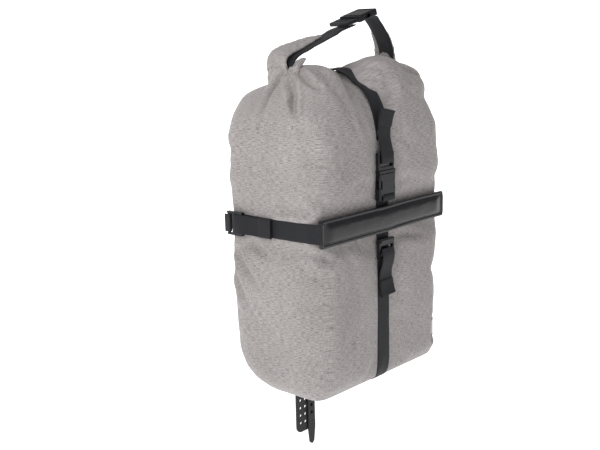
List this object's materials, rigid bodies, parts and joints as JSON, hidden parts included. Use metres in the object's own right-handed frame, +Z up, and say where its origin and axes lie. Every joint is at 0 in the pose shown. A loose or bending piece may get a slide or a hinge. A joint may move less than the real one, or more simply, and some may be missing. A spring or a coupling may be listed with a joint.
{
  "type": "bicycle pannier bag",
  "caption": "Roll-top bicycle pannier with a buckled carry handle, a strapped compression bar, rail loops with wire rings and a rubber lower strap.",
  "frame": {"origin": "on the axis of the rack rail, midway between the two rail loops", "axes": "+Z up as it hangs, +X across the bag, +Y towards the rack, the outer face looks to -Y"},
  "size_m": [0.2958, 0.1846, 0.6438],
  "materials": {
    "shell_fabric": "light warm grey laminated ripstop, fine heathered grid",
    "panel_fabric": "matte dark grey coated cloth",
    "trim_tape": "ribbed dark grey tape",
    "stiffener_plastic": "thin white stiffener sheet",
    "webbing": "black woven webbing",
    "coated_sleeve": "glossy black coated cloth",
    "buckle_plastic": "moulded black acetal",
    "ring_steel": "bright plated wire",
    "spring_steel": "plain spring wire",
    "strap_rubber": "black satin rubber",
    "elastic_cord": "black braided elastic cord",
    "patch": "plain light patch with a dark edge"
  },
  "bodies": {
    "bag": {"bag_shell": "shell_fabric", "base_panel": "shell_fabric", "frame_sheet": "stiffener_plastic", "back_panel": "panel_fabric", "top_edge_strip": "trim_tape", "top_band": "webbing", "roll": "shell_fabric", "mouth_strips": "stiffener_plastic", "closure_strap": "webbing", "closure_anchor": "webbing", "closure_buckle_female": "buckle_plastic", "link_strap": "webbing", "base_strap": "webbing", "bar_sleeve": "coated_sleeve", "bar_bindings": "coated_sleeve", "bar_stay": "stiffener_plastic", "side_strap_left": "webbing", "side_strap_right": "webbing", "side_anchor_left": "webbing", "side_anchor_right": "webbing", "rail_loop_left": "webbing", "rail_loop_right": "webbing", "ring_keeper_left": "webbing", "ring_keeper_right": "webbing", "loop_patch_left": "webbing", "loop_patch_right": "webbing", "anchor_flap": "panel_fabric", "anchor_cord": "elastic_cord", "cord_lock_body": "buckle_plastic", "reflective_patch": "patch"},
    "handle": {"handle_arm_left": "shell_fabric", "handle_arm_right": "shell_fabric", "handle_web_left": "webbing", "handle_web_right": "webbing", "handle_buckle_female": "buckle_plastic"},
    "handle_clip": {"handle_buckle_male": "buckle_plastic"},
    "handle_prong_left": {"handle_prong_left": "buckle_plastic"},
    "handle_prong_right": {"handle_prong_right": "buckle_plastic"},
    "closure_clip": {"closure_buckle_male": "buckle_plastic", "closure_tail": "webbing"},
    "closure_prong_left": {"closure_prong_left": "buckle_plastic"},
    "closure_prong_right": {"closure_prong_right": "buckle_plastic"},
    "lower_lock": {"lower_ladder_lock": "buckle_plastic"},
    "link_tail": {"link_tail": "webbing"},
    "side_lock_left": {"side_lock_left": "buckle_plastic", "side_tail_left": "webbing"},
    "side_lock_right": {"side_lock_right": "buckle_plastic", "side_tail_right": "webbing"},
    "ring_left": {"ring_left": "ring_steel"},
    "ring_right": {"ring_right": "ring_steel"},
    "rail_tail_left": {"rail_tail_left": "webbing"},
    "rail_tail_right": {"rail_tail_right": "webbing"},
    "rubber_strap": {"perforated_strap": "strap_rubber", "strap_tongue": "strap_rubber"},
    "cord_button": {"cord_lock_button": "buckle_plastic", "cord_lock_spring": "spring_steel"}
  },
  "joints": [
    {"name": "handle_swing", "type": "hinge", "parent": "bag", "child": "handle", "pos_m": [0, -0.088, 0.17], "axis": [1, 0, 0], "range_deg": [-25, 25]},
    {"name": "handle_release", "type": "slide", "parent": "handle", "child": "handle_clip", "axis": [-0.9659, 0, -0.2588], "range_m": [0, 0.02]},
    {"name": "handle_prong_left_press", "type": "hinge", "parent": "handle_clip", "child": "handle_prong_left", "pos_m": [0.03687, -0.0768, 0.24123], "axis": [-0.2588, 0, 0.9659], "range_deg": [-7, 0], "stiffness_Nm_per_rad": 0.2},
    {"name": "handle_prong_right_press", "type": "hinge", "parent": "handle_clip", "child": "handle_prong_right", "pos_m": [0.03687, -0.0992, 0.24123], "axis": [-0.2588, 0, 0.9659], "range_deg": [0, 7], "stiffness_Nm_per_rad": 0.2},
    {"name": "closure_release", "type": "slide", "parent": "bag", "child": "closure_clip", "axis": [0, 0, 1], "range_m": [0, 0.022]},
    {"name": "closure_prong_left_press", "type": "hinge", "parent": "closure_clip", "child": "closure_prong_left", "pos_m": [-0.0112, -0.1699, 0.0391], "axis": [0, 1, 0], "range_deg": [-7, 0], "stiffness_Nm_per_rad": 0.2},
    {"name": "closure_prong_right_press", "type": "hinge", "parent": "closure_clip", "child": "closure_prong_right", "pos_m": [0.0112, -0.1699, 0.0391], "axis": [0, 1, 0], "range_deg": [0, 7], "stiffness_Nm_per_rad": 0.2},
    {"name": "lower_lock_tilt", "type": "hinge", "parent": "bag", "child": "lower_lock", "pos_m": [0, -0.1696, -0.073], "axis": [1, 0, 0], "range_deg": [0, 35]},
    {"name": "link_tail_hang", "type": "hinge", "parent": "lower_lock", "child": "link_tail", "pos_m": [0, -0.173, -0.06], "axis": [1, 0, 0], "range_deg": [-36, 1]},
    {"name": "side_lock_left_tilt", "type": "hinge", "parent": "bag", "child": "side_lock_left", "pos_m": [-0.1408, -0.017, -0.02], "axis": [0, 0, 1], "range_deg": [-35, 0]},
    {"name": "side_lock_right_tilt", "type": "hinge", "parent": "bag", "child": "side_lock_right", "pos_m": [0.1408, -0.017, -0.02], "axis": [0, 0, 1], "range_deg": [0, 35]},
    {"name": "ring_left_swing", "type": "hinge", "parent": "bag", "child": "ring_left", "pos_m": [-0.072, -0.0055, -0.0155], "axis": [1, 0, 0], "range_deg": [0, 60]},
    {"name": "rail_left_peel", "type": "hinge", "parent": "bag", "child": "rail_tail_left", "pos_m": [-0.072, -0.0095, -0.0397], "axis": [1, 0, 0], "range_deg": [0, 65]},
    {"name": "ring_right_swing", "type": "hinge", "parent": "bag", "child": "ring_right", "pos_m": [0.072, -0.0055, -0.0155], "axis": [1, 0, 0], "range_deg": [0, 60]},
    {"name": "rail_right_peel", "type": "hinge", "parent": "bag", "child": "rail_tail_right", "pos_m": [0.072, -0.0095, -0.0397], "axis": [1, 0, 0], "range_deg": [0, 65]},
    {"name": "rubber_strap_swing", "type": "hinge", "parent": "bag", "child": "rubber_strap", "pos_m": [0, -0.0146, -0.2646], "axis": [1, 0, 0], "range_deg": [-60, 60]},
    {"name": "cord_button_press", "type": "slide", "parent": "bag", "child": "cord_button", "axis": [-1, 0, 0], "range_m": [0, 0.003], "stiffness_N_per_m": 600}
  ],
  "couplings": [
    {"joint": "handle_prong_right_press", "follows": "handle_prong_left_press", "ratio": -1},
    {"joint": "closure_prong_right_press", "follows": "closure_prong_left_press", "ratio": -1},
    {"joint": "link_tail_hang", "follows": "lower_lock_tilt", "ratio": -1}
  ]
}
